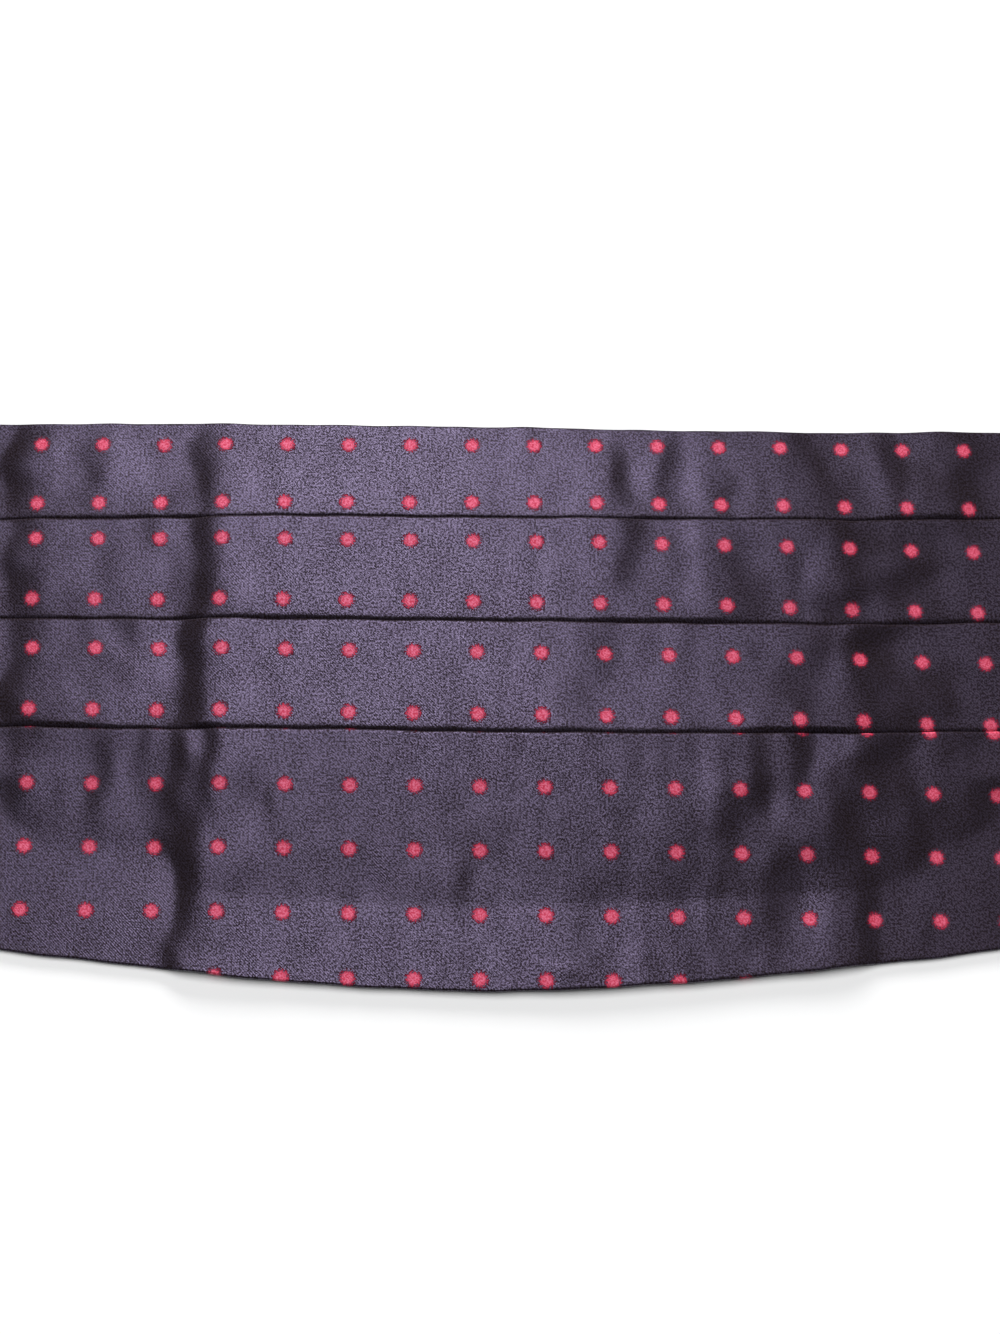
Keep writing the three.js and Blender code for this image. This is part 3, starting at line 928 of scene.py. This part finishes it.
def strap(name, side):
    """One strap, for side 1 on the right and -1 on the left, as its mirror image."""
    line, length = strap_line(STRAP_STEP)
    edge_rows = np.array([0.0, 0.15, 0.4, 0.8, 1.4, 2.0, 2.3, 2.6, 2.9, 3.3])
    inner = np.linspace(-STRAP_HALF + 4.5, STRAP_HALF - 4.5, 18)
    across = np.concatenate([-STRAP_HALF + edge_rows, inner, (STRAP_HALF - edge_rows)[::-1]])[None, :]
    x, z = line[:, :1], line[:, 1:]
    middle = np.stack(np.broadcast_arrays(side * x, STRAP_MIDDLE - side * across, z), axis=-1)
    ripple = STRAP_RIPPLE * np.sin(x / 11.0 + across / 9.0)
    wall = np.minimum(strap_wall(across) + ripple, STRAP_WALL)
    run = np.arange(len(line))[:, None] * STRAP_STEP
    steps = np.stack(np.broadcast_arrays(run / PITCH, across / PITCH), axis=-1)
    piece = closed_cloth(name + "_silk", middle, wall, steps, strap_silk)
    dress(piece, (length, 2 * STRAP_HALF), name)
    print(name, "length of cloth, mm:", round(length, 1))


strap("strap_right", 1)
strap("strap_left", -1)

# %% [markdown]
# ## Stitches
# A stitch is a short length of thread that bows out of the cloth. About ninety repeat, so one small body
# is worked out once, and arrays place all its copies in one mesh.

# %% Rows of stitches
STITCH_LENGTH = 2.1
STITCH_RADIUS = 0.16
STITCH_PITCH = 2.8
STITCH_BOW = 0.1
STITCH_SUNK = 0.06
END_STITCH_INSET = 4.0


def stitch_body(rings=5, sides=6):
    """A spindle along X: circles whose radius follows the root of a half sine, bowed upwards."""
    place = np.linspace(-0.5, 0.5, rings)[:, None]
    swelling = STITCH_RADIUS * np.sqrt(np.cos(place * math.pi * 0.92))
    angle = np.linspace(0, 2 * math.pi, sides, endpoint=False)[None, :]
    bow = STITCH_BOW * np.cos(place * math.pi)
    x = place * STITCH_LENGTH + 0 * angle
    ring = np.stack([x, swelling * np.cos(angle), bow + swelling * np.sin(angle)], axis=-1)
    index = np.arange(rings * sides).reshape(rings, sides)
    wrapped = np.concatenate([index, index[:, :1]], axis=1)
    cap = np.array([[0, 1, 2, 3], [0, 3, 4, 5]])
    faces = np.concatenate([grid_faces(wrapped), index[0][cap[:, ::-1]], index[-1][cap]])
    return ring.reshape(-1, 3), faces


def stitch_rows(name, rows, finish):
    """Stitches along straight rows, each a start, an end and a level at both, as one joined mesh."""
    body, faces = stitch_body()
    middles, turns = [], []
    for start, end in rows:
        start, end = np.array(start, float), np.array(end, float)
        count = max(1, int(np.linalg.norm(end - start) // STITCH_PITCH))
        share = (np.arange(count)[:, None] + 0.5) / count
        middles.append(start + (end - start) * share)
        turns.append(np.full(count, math.atan2(end[1] - start[1], end[0] - start[0])))
    middles, turns = np.concatenate(middles), np.concatenate(turns)
    cos, sin = np.cos(turns)[:, None], np.sin(turns)[:, None]
    x = body[None, :, 0] * cos - body[None, :, 1] * sin
    y = body[None, :, 0] * sin + body[None, :, 1] * cos
    points = np.stack([x, y, np.broadcast_to(body[None, :, 2], x.shape)], axis=-1) + middles[:, None, :]
    copies = (faces[None] + np.arange(len(middles))[:, None, None] * len(body)).reshape(-1, 4)
    piece = mesh_piece(name, points.reshape(-1, 3), copies, finish)
    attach(piece, "root")
    print(name, "stitches:", len(middles))


THREAD_DARK = (0.02, 0.016, 0.024, 1.0)
THREAD_LIGHT = (0.075, 0.06, 0.085, 1.0)
TWIST_SCALE = 6000.0
thread = Finish("sewing_thread")
spot = Socket(thread, thread.node("ShaderNodeTexCoord").outputs["Object"])
twist = thread.noise(spot, TWIST_SCALE)
twisted = thread.blend(twist, THREAD_DARK, THREAD_LIGHT)
thread_finish = thread.close(thread.surface(Base_Color=twisted, Roughness=0.45))


def lap_rows(side):
    """The box of stitches that holds a strap's lap down."""
    near, far = side * (LAP_START - STRAP_LAP + 2.2), side * (LAP_START - 3.5)
    low, high = STRAP_MIDDLE - STRAP_HALF + STITCH_INSET, STRAP_MIDDLE + STRAP_HALF - STITCH_INSET
    level = LAP_LEVEL + STRAP_WALL / 2 - STITCH_SUNK
    corners = [(near, low, level), (far, low, level), (far, high, level), (near, high, level)]
    return [(corners[k], corners[(k + 1) % 4]) for k in range(4)]


def end_rows(side):
    """A row on each band, near the end of the panel, that closes it and catches the strap."""
    place = np.array([[side * (HALF_LENGTH - END_STITCH_INSET)]])
    edges = [top_edge(place), *(fold_line(number, place) for number in (1, 2, 3)), hem(place)]
    rows = []
    for band in range(4):
        ends = edges[band] - 1.2, edges[band + 1] + 2.2
        levels = [visible_level(band, place, end) + WALL / 2 for end in ends]
        rows.append([(place.item(), end.item(), level.item()) for end, level in zip(ends, levels)])
    return rows


for side, word in ((1, "right"), (-1, "left")):
    stitch_rows("lap_stitches_" + word, lap_rows(side), thread_finish)
    stitch_rows("end_stitches_" + word, end_rows(side), thread_finish)

# %% [markdown]
# ## Clasp
# The measured clasp already has its real shape, so its two pieces are copied, their loose triangles
# merged, and their edges broken with a small bevel as stamped metal has. The finish is satin brass
# with fine brushing along the plate.

# %% Clasp pieces and their finish
BRASS_BRIGHT = (0.62, 0.47, 0.24, 1.0)
BRASS_DULL = (0.50, 0.37, 0.19, 1.0)
BRUSH_PULL = (0.15, 1.0, 1.0)
BRUSH_SCALE = 9000.0
WORN_SCALE = 300.0
BRUSH_DEPTH = 0.01
CLASP_BEVEL = 0.28
CLASP_SHARP = math.radians(30)
HARD_ANGLE = math.radians(35)

metal = Finish("clasp_metal")
spot = Socket(metal, metal.node("ShaderNodeTexCoord").outputs["Object"])
pulled = metal.value("ShaderNodeMapping", {}, {"Vector": spot, "Scale": BRUSH_PULL})
brushed = metal.noise(pulled, BRUSH_SCALE, detail=3.0)
worn = metal.noise(pulled, WORN_SCALE, detail=3.0)
clasp_finish = metal.close(metal.surface(
    Base_Color=metal.blend(worn, BRASS_BRIGHT, BRASS_DULL),
    Metallic=1.0,
    Roughness=0.24 + brushed * 0.18 + worn * 0.1,
    Normal=metal.value("ShaderNodeBump", {}, {"Distance": BRUSH_DEPTH * MM, "Height": brushed}),
))


def broken_edges(node, width):
    """A copy of a solid with its corners merged, flat faces joined and hard edges bevelled."""
    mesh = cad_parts[node].data.copy()
    mesh.name = node + "_metal"
    shape = bmesh.new()
    shape.from_mesh(mesh)
    bmesh.ops.remove_doubles(shape, verts=shape.verts, dist=1e-6)
    bmesh.ops.dissolve_limit(shape, angle_limit=math.radians(1), verts=shape.verts, edges=shape.edges)
    closed = [edge for edge in shape.edges if edge.is_manifold]
    hard = [edge for edge in closed if edge.calc_face_angle() > HARD_ANGLE]
    bmesh.ops.bevel(shape, geom=hard, offset=width * MM, segments=2, profile=0.6, affect="EDGES",
                    clamp_overlap=True)
    bmesh.ops.triangulate(shape, faces=shape.faces)
    shape.to_mesh(mesh)
    shape.free()
    mesh.materials.clear()
    mesh.materials.append(clasp_finish)
    mesh.shade_smooth()
    mesh.set_sharp_from_angle(angle=CLASP_SHARP)
    piece = bpy.data.objects.new(mesh.name, mesh)
    bpy.context.scene.collection.objects.link(piece)
    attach(piece, "root")
    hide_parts(node)
    print(mesh.name, "faces:", len(mesh.polygons))


for node in ("hook_plate", "eye_loop"):
    broken_edges(node, CLASP_BEVEL)
